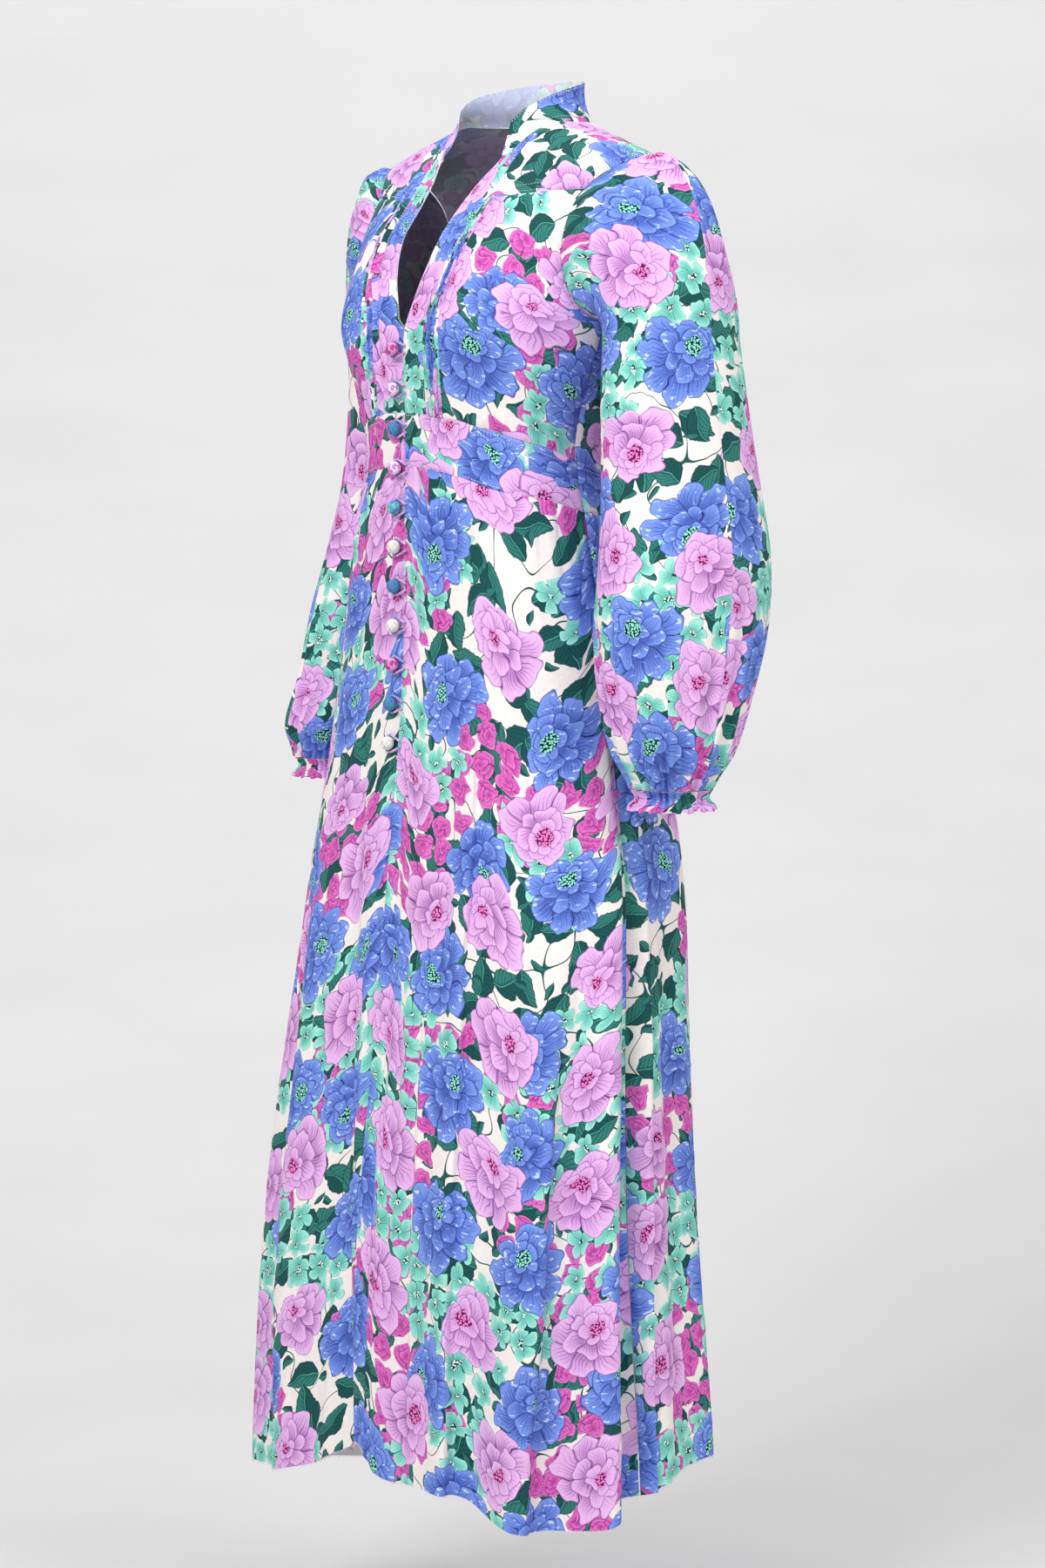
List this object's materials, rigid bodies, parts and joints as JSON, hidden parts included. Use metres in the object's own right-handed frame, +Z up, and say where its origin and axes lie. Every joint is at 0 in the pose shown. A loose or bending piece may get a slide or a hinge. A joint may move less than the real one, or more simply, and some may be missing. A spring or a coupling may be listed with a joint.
{
  "type": "maxi dress",
  "caption": "Long button-front dress with an open stand collar, V neck, pintucked bodice, shaped waistband, full bishop sleeves and a long skirt with soft folds, worn and hollow.",
  "frame": {"origin": "middle of the shoulder line, where the wearer's shoulders carry the dress", "axes": "+Z up along the standing wearer; the wearer faces -Y and the wearer's left is +X"},
  "size_m": [0.6251, 0.3382, 1.388],
  "materials": {
    "print_cloth": "matt woven cloth",
    "button_pink": "matt woven cloth",
    "button_lilac": "matt woven cloth",
    "button_blue": "matt woven cloth",
    "button_aqua": "matt woven cloth",
    "button_cream": "matt woven cloth",
    "loop_cloth": "matt woven cloth"
  },
  "bodies": {
    "root": {"collar": "print_cloth", "yoke": "print_cloth", "placket_left": "print_cloth", "placket_right": "print_cloth", "bodice_front_left": "print_cloth", "bodice_front_right": "print_cloth", "bodice_back": "print_cloth", "waistband_front_left": "print_cloth", "waistband_front_right": "print_cloth", "waistband_back": "print_cloth", "skirt_front_left": "print_cloth", "skirt_front_right": "print_cloth", "skirt_back": "print_cloth", "sleeve_left": "print_cloth", "sleeve_right": "print_cloth", "cuff_left": "print_cloth", "cuff_right": "print_cloth", "button_01": "button_pink", "button_02": "button_lilac", "button_03": "button_blue", "button_04": "button_lilac", "button_05": "button_aqua", "button_06": "button_cream", "button_07": "button_blue", "button_08": "button_cream", "button_09": "button_pink", "button_10": "button_blue", "button_11": "button_cream", "loop_01": "loop_cloth", "loop_02": "loop_cloth", "loop_03": "loop_cloth", "loop_04": "loop_cloth", "loop_05": "loop_cloth", "loop_06": "loop_cloth", "loop_07": "loop_cloth", "loop_08": "loop_cloth", "loop_09": "loop_cloth", "loop_10": "loop_cloth", "loop_11": "loop_cloth"}
  },
  "joints": []
}
